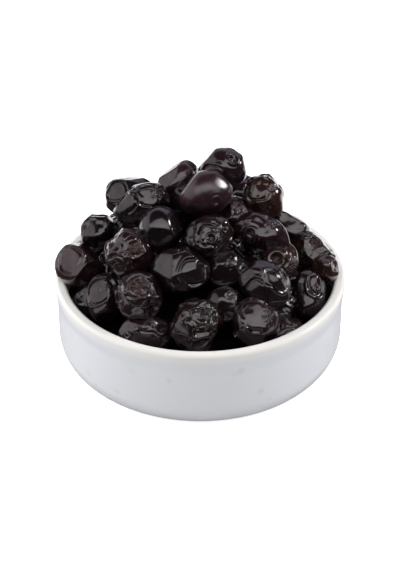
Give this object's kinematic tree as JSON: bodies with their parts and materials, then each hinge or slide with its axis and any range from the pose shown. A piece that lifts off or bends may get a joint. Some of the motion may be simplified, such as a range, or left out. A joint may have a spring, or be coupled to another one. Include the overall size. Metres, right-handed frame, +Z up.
{
  "type": "dish of olives",
  "caption": "Straight-sided round white glazed dish heaped above its rim with glossy black oil-cured olives.",
  "frame": {"origin": "centre of the dish's underside, on the plane it stands on", "axes": "+Z up out of the dish, -Y towards the serving side"},
  "size_m": [0.12, 0.12, 0.0855],
  "materials": {
    "white_glaze": "smooth white glaze with a soft sheen",
    "olive_skin": "oiled, wrinkled purple-black skin with a wet shine"
  },
  "bodies": {
    "root": {"dish": "white_glaze", "olive_heap": "olive_skin"}
  },
  "joints": []
}
